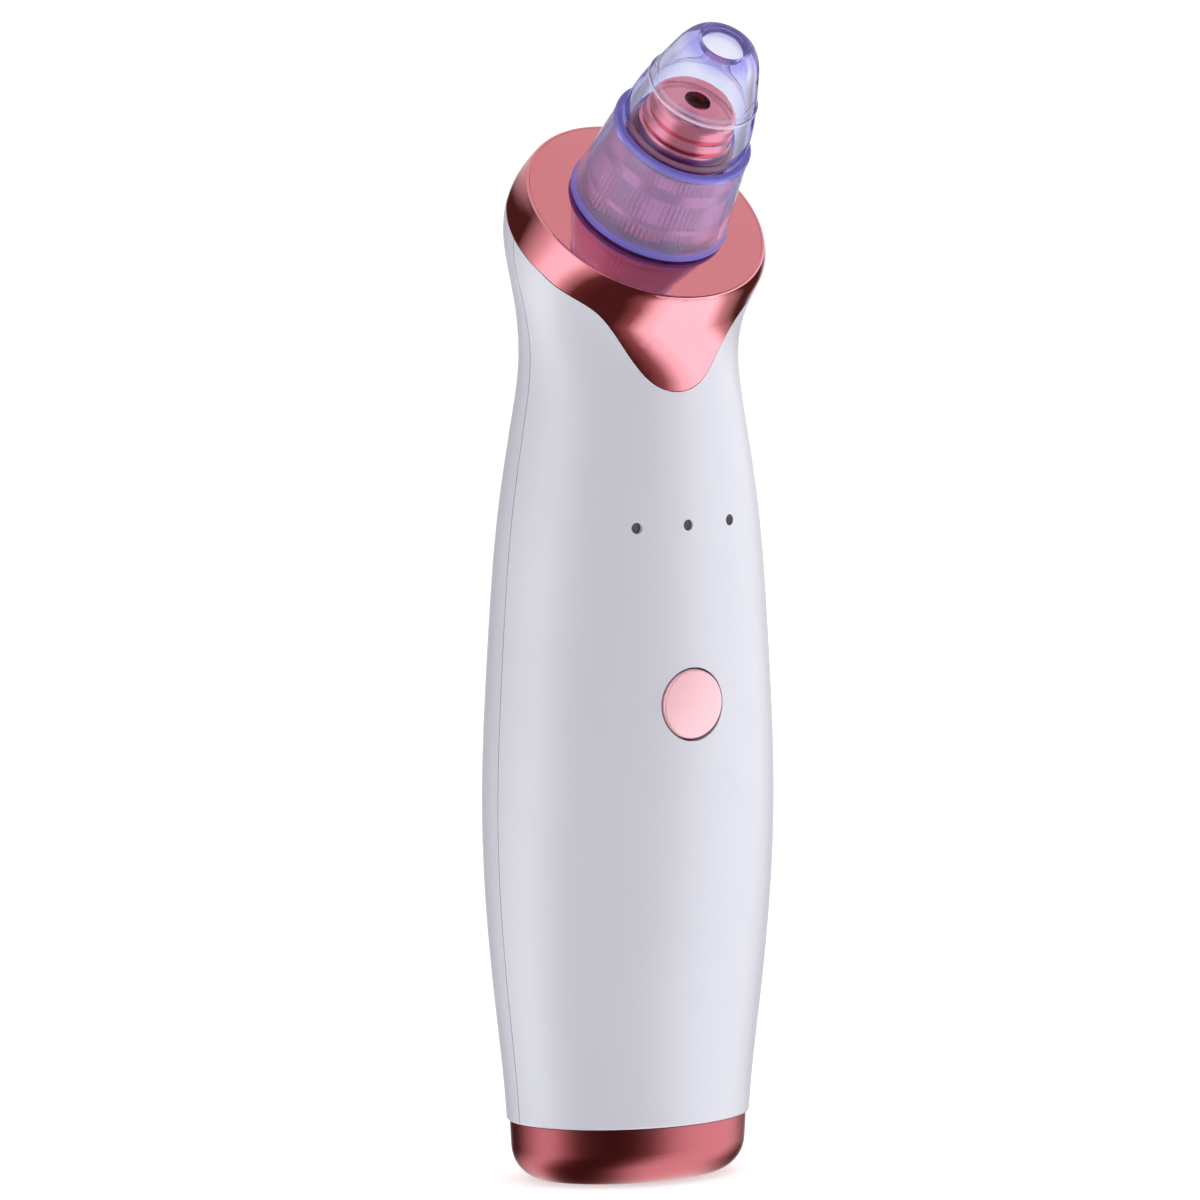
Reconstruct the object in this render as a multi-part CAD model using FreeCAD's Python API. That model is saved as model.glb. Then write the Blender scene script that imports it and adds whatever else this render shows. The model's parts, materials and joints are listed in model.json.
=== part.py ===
"""Hand-held blackhead vacuum extractor, modelled as it comes apart on a bench.

Frame: +Z up, origin at the middle of the flat base, front (button side) faces -Y. Millimetres.
The outer body is one loft through elliptical sections. Shells, collar and base are cut from it.
Head parts are drawn about a local Z axis and placed on the tilted head axis by on_head().
Pump parts are drawn about the pump axis, which is vertical.
"""

import FreeCAD
import Part
import math
import os

from FreeCAD import Placement, Rotation, Vector

# ---------------------------------------------------------------- driving dimensions (mm)

WALL = 1.8
SPLIT_GAP = 0.08  # half of the fine line between front and rear shells
SEAM_GAP = 0.12  # fine line above the base and below the collar
RIB = 1.4

# Outer body sections: height, centre Y, forward tilt in degrees, half width, half depth in plan
HEAD_TILT = 37.0
HEAD_CENTRE = Vector(0, -4.4, 139.2)
HEAD_R = 18.0
SECTIONS = [
    (0.0, 0.0, 0.0, 17.9, 13.5),
    (9.0, 0.0, 0.0, 18.75, 14.1),
    (26.0, 0.0, 0.0, 20.6, 15.5),
    (52.0, 0.0, 0.0, 22.5, 16.9),
    (78.0, 0.0, 0.0, 21.6, 16.2),
    (96.0, 0.0, 0.0, 20.1, 15.1),
    (110.0, 0.0, 0.0, 17.9, 13.5),
    (118.5, -0.1, 1.0, 16.9, 12.8),
    (127.2, -0.6, 13.0, 18.2, 14.0),
    (134.6, -1.5, 26.0, 19.9, 15.6),
    (HEAD_CENTRE.z, HEAD_CENTRE.y, HEAD_TILT, HEAD_R, HEAD_R * math.cos(math.radians(HEAD_TILT))),
]
SECTION_POINTS = 16

# Base
BASE_SEAM_Z = 8.5
BASE_EDGE_R = 5.0
BASE_FLOOR = 2.0
BASE_STEP = 0.45  # the base sits in by this much under the shells
SHELL_BEVEL = 0.35

# Collar: a band below the tilted deck, with a tongue that dips down the front
BAND_DROP = 4.8  # from the deck plane to the band's lower plane, along the head axis
TONGUE = [
    (0.0, 114.4), (3.8, 115.5), (7.3, 119.2), (10.5, 123.6), (13.8, 127.0), (17.5, 129.9), (19.4, 133.2),
]
COLLAR_LIP = 2.4
RIM_R = 17.62  # seat for the deck plate inside the collar's rim
RIM_DEPTH = 1.0
RIM_EDGE_R = 0.22

# Deck plate and nozzle, heights along the head axis from the deck plane
DECK_DOME = 1.5
NOZZLE_SINK = 0.4  # nozzle and probe are drawn this much high, so that they bed on the dome
SEAT_HOLE_R = 8.2
KNURL_TEETH = 84
KNURL_DEPTH = 0.15
KNURL_BANDS = [(2.4, 5.4), (6.2, 10.4), (12.2, 14.2)]
SEAT_FOOT = 1.35
SEAT_TOP = 14.4
SEAT_R_FOOT = 10.5
SEAT_TAPER = 0.09
SPIGOT_TOP = 22.3
CHAMBER_R = 4.5
CHAMBER_TOP = 19.4
PORT_R = 1.9
BARB_R = 1.9
BARB_BORE_R = 1.1

# Probe
SKIRT_FOOT = 1.6
SKIRT_TOP = 16.2
SKIRT_R_FOOT = 11.8
SKIRT_R_TOP = 10.2
TIP_NECK_R = 9.3
MOUTH_R = 3.3
MOUTH_LENGTH = 1.2
TIP_TOP = 33.4
TIP_FOOT_R = 9.55
FOOT_BOTTOM = 14.6
FOOT_TOP = 15.25
SEAL_R = 7.76  # outside of the silicone ring on the spigot
BORE_R = 7.80  # bore of the probe where it slides on that ring

# Button, lamps and circuit board
BUTTON_Z = 69.8
BUTTON_R = 5.0
BUTTON_HOLE_R = 5.3
BUTTON_PROUD = 0.2
BUTTON_DOME = 0.25
BUTTON_EDGE_R = 0.35
FLANGE_FRONT_Y = -13.8
FLANGE_R = 5.9
FLANGE_THICK = 0.7
PLUNGER_TOP_Y = -12.6
PLUNGER_R = 1.6
SWITCH_TOP_Y = -11.9
LED_Z = 95.4
LED_PITCH = 8.0
LED_HOLE_R = 0.8
LENS_R = 0.72
LENS_RECESS = 0.35
BOARD_FRONT_Y = -8.4
BOARD_THICK = 1.2
BOARD_HALF_W = 9.6
BOARD_Z = (58.5, 103.5)
BOARD_SCREWS = [(0.0, 61.0), (0.0, 87.5)]

# Battery
CELL_R = 7.0
CELL_Z = (64.5, 107.5)
CELL_Y = 1.2

# Pump, heights of its layers
PUMP_Y = 0.4
MOTOR_R = 10.2
MOTOR_Z = (16.0, 36.0)
SLEEVE_R = 12.0
SLEEVE_Z = (18.0, 34.0)
END_CAP_Z = 13.4
TERMINAL_X = 6.4
HEAD_BLOCK_R = 11.2
CHAMBER_FLOOR_Z = 37.6
PUMP_BASE_TOP = 46.0
DIAPHRAGM_TOP = 47.0
VALVE_TOP = 49.4
COVER_TOP = 52.4
NIPPLE_TOP = 55.6
NIPPLE_X = 7.35
SHAFT_R = 1.0
SHAFT_TOP = 39.8
WHEEL_Z = (38.2, 41.4)
WHEEL_R = 4.3
PIN_R = 0.78
PIN_TILT = 6.0  # lean of the crank pin, degrees
PIN_PIVOT_Z = 44.4  # where the pin's line meets the motor axis
PIN_LOW = -4.2  # ends of the pin and middle of the drive plate, along the pin from its pivot
PIN_HIGH = -0.9
PLATE_LOW = -2.0
CUP_CIRCLE_R = 6.0
CUP_R = 2.6
CUP_BOTTOM = 44.3
SCREW_CIRCLE_R = 10.3
SCREW_ANGLES = [math.pi / 4 + i * math.pi / 2 for i in range(4)]
PUMP_SCREW_SPOTS = [(SCREW_CIRCLE_R * math.cos(a), SCREW_CIRCLE_R * math.sin(a)) for a in SCREW_ANGLES]

# Charging socket
USB_FOOT = 0.9
USB_TOP = 6.6
USB_BOARD_THICK = 1.0
USB_SCREWS_X = (-6.3, 6.3)

# Hose and leads
HOSE_R = 2.2
LEAD_R = 0.55

Z_AXIS = Vector(0, 0, 1)
Y_AXIS = Vector(0, 1, 0)
ORIGIN = Vector(0, 0, 0)


# ---------------------------------------------------------------- general helpers

def cylinder(radius, z0, z1, x=0.0, y=0.0):
    return Part.makeCylinder(radius, z1 - z0, Vector(x, y, z0), Z_AXIS)


def tube(radius, bore, z0, z1, x=0.0, y=0.0):
    return cylinder(radius, z0, z1, x, y).cut(cylinder(bore, z0 - 1, z1 + 1, x, y))


def box(x0, x1, y0, y1, z0, z1):
    return Part.makeBox(x1 - x0, y1 - y0, z1 - z0, Vector(x0, y0, z0))


def along_y(radius, y0, y1, x, z):
    """A cylinder that runs front to back."""
    return Part.makeCylinder(radius, y1 - y0, Vector(x, y0, z), Y_AXIS)


def fuse(shapes):
    whole = shapes[0]
    for shape in shapes[1:]:
        whole = whole.fuse(shape)
    return whole.removeSplitter()


def turned(points):
    """Solid of revolution about Z from a closed (radius, height) outline."""
    corners = [Vector(r, 0, z) for r, z in points]
    face = Part.Face(Part.makePolygon(corners + corners[:1]))
    return face.revolve(ORIGIN, Z_AXIS, 360)


def moved(shape, placement):
    placed = shape.copy()
    placed.Placement = placement.multiply(placed.Placement)
    return placed


def on_head(shape):
    """Places a shape drawn about local Z onto the tilted head axis."""
    return moved(shape, Placement(HEAD_CENTRE, Rotation(Vector(1, 0, 0), HEAD_TILT)))


def on_nozzle(shape):
    """Places a nozzle or probe part, which beds a little lower than it is drawn."""
    return on_head(moved(shape, Placement(Vector(0, 0, -NOZZLE_SINK), Rotation())))


def head_point(x, y, z):
    return Placement(HEAD_CENTRE, Rotation(Vector(1, 0, 0), HEAD_TILT)).multVec(Vector(x, y, z))


def at_pump(shape):
    return moved(shape, Placement(Vector(0, PUMP_Y, 0), Rotation()))


def around(shape, count, centre=ORIGIN, axis=Z_AXIS, start=0.0):
    copies = []
    for i in range(count):
        turn = shape.copy()
        turn.rotate(centre, axis, start + 360.0 * i / count)
        copies.append(turn)
    return copies


def mirrored_x(shape):
    return shape.mirror(ORIGIN, Vector(1, 0, 0))


def fillet_edges(shape, radius, wanted):
    edges = [e for e in shape.Edges if wanted(e)]
    return shape.makeFillet(radius, edges)


def write(name, shape):
    solids = shape.Solids
    if not solids:
        raise ValueError(name + " has no solid")
    for solid in solids:
        if not solid.isValid():
            print("INVALID solid in", name)
    out = solids[0] if len(solids) == 1 else Part.makeCompound(solids)
    out.exportStep("parts/" + name + ".step")
    print(f"{name:24s} solids {len(solids):2d} volume {out.Volume:10.2f}")


# ---------------------------------------------------------------- outer body

def section_wire(section, inset):
    height, centre_y, tilt, half_w, half_d = section
    lean = math.radians(tilt)
    rx = half_w - inset
    ry = half_d / math.cos(lean) - inset
    points = []
    for i in range(SECTION_POINTS):
        angle = 2 * math.pi * i / SECTION_POINTS
        slope = ry * math.sin(angle)
        y = centre_y + slope * math.cos(lean)
        points.append(Vector(rx * math.cos(angle), y, height + slope * math.sin(lean)))
    curve = Part.BSplineCurve()
    curve.interpolate(Points=points, PeriodicFlag=True)
    return Part.Wire([curve.toShape()])


def body_loft(inset):
    return Part.makeLoft([section_wire(s, inset) for s in SECTIONS], True, False)


def half_space(front):
    """Everything in front of, or behind, the split line between the two shells."""
    if front:
        return box(-40, 40, -40, -SPLIT_GAP, -10, 180)
    return box(-40, 40, SPLIT_GAP, 40, -10, 180)


def above_band(drop):
    """The space above the collar's lower edge. A larger drop moves the edge down."""
    plane = on_head(Part.makeBox(120, 120, 80, Vector(-60, -60, -BAND_DROP - drop)))
    right = [Vector(x, -60, z - drop) for x, z in TONGUE]
    left = [Vector(-p.x, p.y, p.z) for p in reversed(right[1:])]
    curve = Part.BSplineCurve()
    curve.interpolate(left + right)
    top_left = Vector(left[0].x, -60, 190)
    top_right = Vector(right[-1].x, -60, 190)
    outline = Part.Wire([
        curve.toShape(),
        Part.makeLine(right[-1], top_right),
        Part.makeLine(top_right, top_left),
        Part.makeLine(top_left, left[0]),
    ])
    tongue = Part.Face(outline).extrude(Vector(0, 60, 0))
    return plane.fuse(tongue)


class Body:
    """The lofts that every casing part is cut from."""

    def __init__(self):
        self.outer = body_loft(0.0)
        self.inner = body_loft(WALL)
        self.rib_reach = body_loft(WALL - 0.6)
        self.collar_space = above_band(0.0)
        self.shell_space = above_band(SEAM_GAP)


def front_lip(body):
    """A thin edge on the front shell that locates inside the rear shell."""
    ring = body_loft(WALL - 0.3).cut(body_loft(WALL + 0.7))
    strip = box(-40, 40, -2.0, -SPLIT_GAP, 14, 124)
    inner_ring = body_loft(WALL + 0.06).cut(body_loft(WALL + 0.7))
    proud = inner_ring.common(box(-40, 40, -SPLIT_GAP - 0.2, 1.2, 14, 116))
    return [ring.common(strip), proud]


def shell(body, front):
    walls = body.outer.cut(body.inner)
    walls = walls.common(box(-40, 40, -40, 40, BASE_SEAM_Z + SEAM_GAP, 170))
    walls = fillet_edges(walls, SHELL_BEVEL, is_shell_foot)
    walls = walls.common(half_space(front)).cut(body.shell_space)
    pieces = [walls] + [rib.common(half_space(front)) for rib in ribs(body, front)]
    if front:
        pieces += front_lip(body) + board_posts(body)
    return fuse(pieces)


def is_shell_foot(edge):
    """True for the outer edge at the bottom of the shells."""
    bounds = edge.BoundBox
    return bounds.ZMax < BASE_SEAM_Z + SEAM_GAP + 0.01 and bounds.XLength > 2 * (SECTIONS[0][3] - 0.5 * WALL)


def ribs(body, front):
    """Cross ribs that cradle the pump sleeve, and behind the board the cell."""
    made = []
    reach = body.rib_reach.common(box(-13, 13, -40, 40, 0, 130))
    for z in (21.0, 30.0):
        slab = reach.common(box(-40, 40, -40, 40, z, z + RIB))
        made.append(slab.cut(cylinder(SLEEVE_R + 0.1, z - 1, z + RIB + 1, 0, PUMP_Y)))
    if not front:
        for z in (68.0, 84.0, 100.0):
            slab = reach.common(box(-8.5, 8.5, 2.0, 40, z, z + RIB))
            made.append(slab.cut(cylinder(CELL_R + 0.2, z - 1, z + RIB + 1, 0, CELL_Y)))
    return made


def board_posts(body):
    """Screw posts on the inside of the front shell, one for each board screw."""
    made = []
    for x, z in BOARD_SCREWS:
        post = along_y(1.9, -20, BOARD_FRONT_Y, x, z).common(body.rib_reach)
        made.append(post.cut(along_y(0.62, -12.6, BOARD_FRONT_Y + 1, x, z)))
    return made


def front_shell(body):
    made = shell(body, True)
    made = made.cut(along_y(BUTTON_HOLE_R, -30, -12, 0, BUTTON_Z))
    for x in (-LED_PITCH, 0, LED_PITCH):
        made = made.cut(along_y(LED_HOLE_R, -30, -10, x, LED_Z))
    return made


def rear_shell(body):
    return shell(body, False)


def head_collar(body):
    walls = body.outer.cut(body.inner).common(body.collar_space)
    seat = on_head(cylinder(RIM_R, -RIM_DEPTH, 3))
    made = walls.cut(seat)
    made = fillet_edges(made, RIM_EDGE_R, is_rim_edge)
    ring = body_loft(WALL + 0.06).cut(body_loft(WALL + 0.9))
    root = body_loft(WALL - 0.4).cut(body_loft(WALL + 0.9))
    lip = ring.common(above_band(COLLAR_LIP)).common(root_zone())
    root = root.common(above_band(-0.4)).common(root_zone())
    return made.fuse(root).fuse(lip)


def root_zone():
    """The space below the underside of the deck plate."""
    return on_head(Part.makeBox(120, 120, 80, Vector(-60, -60, -RIM_DEPTH - 3.5 - 80)))


def is_rim_edge(edge):
    """True for the outer edge of the collar's top face."""
    middle = edge.valueAt((edge.FirstParameter + edge.LastParameter) / 2)
    start = edge.valueAt(edge.FirstParameter)
    frame = Placement(HEAD_CENTRE, Rotation(Vector(1, 0, 0), HEAD_TILT)).inverse()
    for point in (middle, start):
        local = frame.multVec(point)
        if abs(local.z) > 0.02 or abs(math.hypot(local.x, local.y) - HEAD_R) > 0.05:
            return False
    return True


def base_cap(body):
    cup = body_loft(BASE_STEP).common(box(-40, 40, -40, 40, 0, BASE_SEAM_Z))
    cup = fillet_edges(cup, BASE_EDGE_R, lambda e: e.BoundBox.ZMax < 0.01)
    hollow = body.inner.common(box(-40, 40, -40, 40, BASE_FLOOR + 3.2, BASE_SEAM_Z + 1))
    floor_hollow = body_loft(BASE_EDGE_R + 0.6).common(box(-40, 40, -40, 40, BASE_FLOOR, BASE_SEAM_Z))
    cup = cup.cut(hollow).cut(floor_hollow)
    lip_ring = body_loft(WALL + 0.08).cut(body_loft(WALL + 1.1))
    root = body_loft(WALL - 0.4).cut(body_loft(WALL + 1.1)).common(box(-40, 40, -40, 40, 6.5, BASE_SEAM_Z))
    lip = lip_ring.common(box(-40, 40, -40, 40, BASE_SEAM_Z - 0.5, BASE_SEAM_Z + 2.6))
    posts = [cylinder(1.5, BASE_FLOOR - 0.2, USB_TOP, x) for x in USB_SCREWS_X]
    cup = fuse([cup, root, lip] + posts)
    for x in USB_SCREWS_X:
        cup = cup.cut(cylinder(0.6, USB_TOP - 3.4, USB_TOP + 1, x))
    return cup.cut(usb_opening()).cut(Part.makeCompound(base_vents()))


def usb_opening():
    slot = box(-3.9, 3.9, -1.45, 1.45, -1, BASE_FLOOR + 1)
    corner = 0.7
    return fillet_edges(slot, corner, lambda e: abs(e.tangentAt(e.FirstParameter).z) > 0.99)


def base_vents():
    return [cylinder(0.7, -1, BASE_FLOOR + 1, x, 5.6) for x in (-4.0, 0.0, 4.0)]


# ---------------------------------------------------------------- head

def deck_height(radius):
    """Height of the slightly domed deck at a radius."""
    return DECK_DOME * (1 - (radius / RIM_R) ** 2)


def head_deck():
    outer = RIM_R - 0.05
    dome = Part.Arc(
        Vector(0.001, 0, deck_height(0)),
        Vector(outer / 2, 0, deck_height(outer / 2)),
        Vector(outer, 0, 0.0),
    ).toShape()
    side = Part.makeLine(Vector(outer, 0, 0), Vector(outer, 0, -RIM_DEPTH))
    under = Part.makeLine(Vector(outer, 0, -RIM_DEPTH), Vector(0.001, 0, -RIM_DEPTH))
    middle = Part.makeLine(Vector(0.001, 0, -RIM_DEPTH), Vector(0.001, 0, deck_height(0)))
    plate = Part.Face(Part.Wire([dome, side, under, middle])).revolve(ORIGIN, Z_AXIS, 360)
    plate = plate.cut(cylinder(SEAT_HOLE_R, -5, 5))
    return on_head(plate.cut(cylinder(SEAT_R_FOOT + 0.08, SEAT_FOOT - NOZZLE_SINK - 0.01, 5)))


def seat_radius(height):
    return SEAT_R_FOOT - SEAT_TAPER * (height - SEAT_FOOT)


def star_ring(z0, z1, teeth, depth):
    """A tapered ring of fine upright teeth, as a ruled loft between two star outlines."""
    wires = []
    for z in (z0, z1):
        points = []
        for i in range(2 * teeth):
            angle = math.pi * i / teeth
            radius = seat_radius(z) - (depth if i % 2 else 0.0)
            points.append(Vector(radius * math.cos(angle), radius * math.sin(angle), z))
        wires.append(Part.makePolygon(points + points[:1]))
    return Part.makeLoft(wires, True, True)


def nozzle_seat():
    """Plated nozzle: knurled cone that the probe's skirt fits over, and a ringed spigot."""
    cone = turned([
        (0, SEAT_FOOT), (seat_radius(SEAT_FOOT), SEAT_FOOT),
        (seat_radius(SEAT_TOP), SEAT_TOP), (0, SEAT_TOP),
    ])
    for z0, z1 in KNURL_BANDS:
        low = seat_radius(z0) - KNURL_DEPTH
        high = seat_radius(z1) - KNURL_DEPTH
        groove = turned([(low, z0), (14, z0), (14, z1), (high, z1)])
        cone = cone.cut(groove).fuse(star_ring(z0, z1, KNURL_TEETH, KNURL_DEPTH + 0.02))
    neck = cylinder(SEAT_HOLE_R - 0.05, -4.2, SEAT_FOOT + 0.2)
    made = fuse([cone, neck, spigot()])
    made = made.cut(cylinder(CHAMBER_R, -6, CHAMBER_TOP))
    made = made.cut(cylinder(PORT_R, CHAMBER_TOP - 1, SPIGOT_TOP + 2))
    bars = [box(-PORT_R - 0.3, PORT_R + 0.3, -0.28, 0.28, CHAMBER_TOP, CHAMBER_TOP + 1.0)]
    bars += [box(-0.28, 0.28, -PORT_R - 0.3, PORT_R + 0.3, CHAMBER_TOP, CHAMBER_TOP + 1.0)]
    return on_nozzle(fuse([made] + bars))


def spigot():
    """Three stepped rings below a rounded crown."""
    outline = [(0, SEAT_TOP - 0.2), (7.5, SEAT_TOP - 0.2), (7.5, 15.3), (6.85, 15.5)]
    outline += [(6.85, 16.3), (7.15, 16.5), (7.0, 17.7), (6.45, 17.9)]
    outline += [(6.45, 18.2), (6.8, 18.4), (6.65, 19.5), (6.15, 19.7)]
    outline += [(6.15, 20.0), (6.45, 20.2), (6.35, 21.0)]
    crown = [(6.35 - 1.2 * (1 - math.cos(a)), 21.0 + 1.0 * math.sin(a)) for a in arc_steps(6)]
    outline += crown[1:]
    outline += [(PORT_R + 0.6, SPIGOT_TOP), (0, SPIGOT_TOP)]
    return turned(outline)


def arc_steps(count):
    """Angles that divide a quarter turn."""
    return [math.pi / 2 * i / count for i in range(count + 1)]


def spigot_ring():
    """Silicone ring in the spigot's lowest groove, which the probe seals on."""
    ring = Part.makeTorus(SEAL_R - 0.42, 0.42, Vector(0, 0, 15.92), Z_AXIS)
    return on_nozzle(ring)


def filter_sponge():
    return on_nozzle(cylinder(CHAMBER_R - 0.1, 13.6, CHAMBER_TOP - 0.05))


def hose_fitting():
    """Plug that closes the filter chamber from inside and carries the hose barb."""
    outline = [
        (BARB_BORE_R, 13.5), (CHAMBER_R - 0.04, 13.5), (CHAMBER_R - 0.04, -4.25), (7.4, -4.25), (7.4, -5.6),
        (BARB_R, -5.6), (BARB_R, -11.0), (BARB_R - 0.5, -12.0), (BARB_BORE_R, -12.0),
    ]
    return on_nozzle(turned(outline))


def seat_nut():
    """Ring nut that clamps the nozzle seat to the deck plate from below."""
    ring = tube(10.4, SEAT_HOLE_R, -RIM_DEPTH - 2.4, -RIM_DEPTH - 0.02)
    notch = box(-1.1, 1.1, 9.4, 12, -6, 0)
    return on_head(ring.cut(Part.makeCompound(around(notch, 4))))


def probe_skirt():
    """Tinted grip skirt of the probe, with fine upright ribs on the outside."""
    profile = [
        (SKIRT_R_FOOT - 0.85, SKIRT_FOOT), (SKIRT_R_FOOT - 0.15, SKIRT_FOOT),
        (SKIRT_R_FOOT + 0.12, SKIRT_FOOT + 0.3), (SKIRT_R_FOOT + 0.05, SKIRT_FOOT + 0.75),
        (SKIRT_R_FOOT - 0.18, SKIRT_FOOT + 0.95),
        (SKIRT_R_TOP - 0.02, SKIRT_TOP - 0.75), (SKIRT_R_TOP + 0.12, SKIRT_TOP - 0.55),
        (SKIRT_R_TOP + 0.1, SKIRT_TOP - 0.15), (SKIRT_R_TOP - 0.08, SKIRT_TOP),
        (TIP_NECK_R, SKIRT_TOP), (TIP_NECK_R, FOOT_TOP), (TIP_FOOT_R + 0.01, FOOT_TOP),
        (TIP_FOOT_R + 0.01, FOOT_TOP - 0.6),
    ]
    return on_nozzle(turned(profile))


def probe_tip():
    """Clear probe: a hollow ogive with a lipped mouth. One probe of the set that such a tool comes with."""
    outer = Part.BSplineCurve()
    outer.interpolate([
        Vector(TIP_NECK_R - 0.01, 0, SKIRT_TOP), Vector(9.2, 0, 19.6), Vector(8.35, 0, 23.5),
        Vector(6.95, 0, 28.3), Vector(5.95, 0, 31.2), Vector(4.9, 0, 32.8), Vector(3.95, 0, TIP_TOP),
    ])
    inner = Part.BSplineCurve()
    inner.interpolate([
        Vector(MOUTH_R, 0, TIP_TOP - 0.35 - MOUTH_LENGTH), Vector(4.35, 0, 30.6), Vector(5.55, 0, 27.6),
        Vector(6.9, 0, 23.0), Vector(7.6, 0, 19.0), Vector(BORE_R, 0, 17.0),
    ])
    corners = [
        Vector(3.95, 0, TIP_TOP), Vector(MOUTH_R + 0.25, 0, TIP_TOP - 0.05),
        Vector(MOUTH_R, 0, TIP_TOP - 0.35), Vector(MOUTH_R, 0, TIP_TOP - 0.35 - MOUTH_LENGTH),
    ]
    foot = [
        Vector(BORE_R, 0, 17.0), Vector(BORE_R, 0, FOOT_BOTTOM), Vector(TIP_FOOT_R, 0, FOOT_BOTTOM),
        Vector(TIP_FOOT_R, 0, FOOT_TOP - 0.01), Vector(TIP_NECK_R - 0.01, 0, FOOT_TOP - 0.01),
        Vector(TIP_NECK_R - 0.01, 0, SKIRT_TOP),
    ]
    edges = [outer.toShape()]
    edges += Part.makePolygon(corners).Edges
    edges.append(inner.toShape())
    edges += Part.makePolygon(foot).Edges
    cone = Part.Face(Part.Wire(edges)).revolve(ORIGIN, Z_AXIS, 360)
    bead = Part.makeTorus(8.0, 0.3, Vector(0, 0, 24.3), Z_AXIS)
    return on_nozzle(cone.fuse(bead).removeSplitter())


# ---------------------------------------------------------------- button, lamps, board

def outer_y(body, x, z):
    """Y of the body's front surface at x, z."""
    ray = Part.makeLine(Vector(x, -40, z), Vector(x, 0, z))
    return min(v.Point.y for v in ray.common(body.outer).Vertexes)


def power_button(body):
    """Round cap with a slightly domed face, a flange that keeps it in, and a post for the switch."""
    crown = -outer_y(body, 0, BUTTON_Z) + BUTTON_PROUD
    edge = crown - BUTTON_DOME
    back = -FLANGE_FRONT_Y - FLANGE_THICK
    inner_r = BUTTON_R - BUTTON_EDGE_R
    bend = BUTTON_EDGE_R * (1 - math.sqrt(0.5))
    dome = Part.Arc(
        Vector(0, 0, crown), Vector(inner_r / 2, 0, crown - BUTTON_DOME / 4), Vector(inner_r, 0, edge)
    )
    corner = Part.Arc(
        Vector(inner_r, 0, edge), Vector(BUTTON_R - bend, 0, edge - bend),
        Vector(BUTTON_R, 0, edge - BUTTON_EDGE_R)
    )
    side = Part.makePolygon([
        Vector(BUTTON_R, 0, edge - BUTTON_EDGE_R), Vector(BUTTON_R, 0, -FLANGE_FRONT_Y),
        Vector(FLANGE_R, 0, -FLANGE_FRONT_Y), Vector(FLANGE_R, 0, back), Vector(PLUNGER_R, 0, back),
        Vector(PLUNGER_R, 0, -PLUNGER_TOP_Y + 0.02), Vector(0, 0, -PLUNGER_TOP_Y + 0.02), Vector(0, 0, crown),
    ])
    outline = Part.Wire([dome.toShape(), corner.toShape()] + side.Edges)
    cap = Part.Face(outline).revolve(ORIGIN, Z_AXIS, 360)
    return moved(cap, Placement(Vector(0, 0, BUTTON_Z), Rotation(Vector(1, 0, 0), 90)))


def tact_switch():
    body = box(-3, 3, SWITCH_TOP_Y, BOARD_FRONT_Y - 0.02, BUTTON_Z - 3, BUTTON_Z + 3)
    body = fillet_edges(body, 0.4, lambda e: abs(e.tangentAt(e.FirstParameter).y) > 0.99)
    return body.cut(along_y(PLUNGER_R + 0.3, SWITCH_TOP_Y - 1, SWITCH_TOP_Y + 1.9, 0, BUTTON_Z))


def switch_cover():
    """Stamped frame that holds the plunger in the switch."""
    plate = box(-2.9, 2.9, SWITCH_TOP_Y - 0.22, SWITCH_TOP_Y - 0.01, BUTTON_Z - 2.9, BUTTON_Z + 2.9)
    return plate.cut(along_y(PLUNGER_R + 0.25, -20, 0, 0, BUTTON_Z))


def switch_plunger():
    stem = along_y(PLUNGER_R, PLUNGER_TOP_Y, SWITCH_TOP_Y + 1.3, 0, BUTTON_Z)
    return stem.makeFillet(0.2, [e for e in stem.Edges if e.BoundBox.YMax < PLUNGER_TOP_Y + 0.01])


def light_guide(body):
    """Clear bar with three pins that carry the lamps' light to the front."""
    bar_front = -11.2
    pieces = [box(-9.2, 9.2, bar_front, bar_front + 1.2, LED_Z - 1.2, LED_Z + 1.2)]
    for x in (-LED_PITCH, 0, LED_PITCH):
        tip = outer_y(body, x, LED_Z) + LENS_RECESS
        pieces.append(along_y(LENS_R, tip, bar_front + 0.2, x, LED_Z))
    return fuse(pieces)


def lamp_chips():
    chips = []
    for x in (-LED_PITCH, 0, LED_PITCH):
        chip = box(x - 1.0, x + 1.0, BOARD_FRONT_Y - 0.9, BOARD_FRONT_Y - 0.01, LED_Z - 0.65, LED_Z + 0.65)
        chips.append(chip)
    return Part.makeCompound(chips)


def circuit_board():
    board = box(-BOARD_HALF_W, BOARD_HALF_W, BOARD_FRONT_Y, BOARD_FRONT_Y + BOARD_THICK, *BOARD_Z)
    board = fillet_edges(board, 1.2, lambda e: abs(e.tangentAt(e.FirstParameter).y) > 0.99)
    for x, z in BOARD_SCREWS:
        board = board.cut(along_y(1.05, -12, 0, x, z))
    return board


def board_screws():
    """Self-tapping screws that hold the board to the front shell's posts."""
    made = []
    back = BOARD_FRONT_Y + BOARD_THICK
    for x, z in BOARD_SCREWS:
        head = along_y(1.7, back + 0.01, back + 0.9, x, z)
        slot = box(x - 1.3, x + 1.3, back + 0.55, back + 2, z - 0.22, z + 0.22)
        cross = box(x - 0.22, x + 0.22, back + 0.55, back + 2, z - 1.3, z + 1.3)
        shank = along_y(0.6, -11.6, back + 0.2, x, z)
        made.append(fuse([head, shank]).cut(slot).cut(cross))
    return Part.makeCompound(made)


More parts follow.
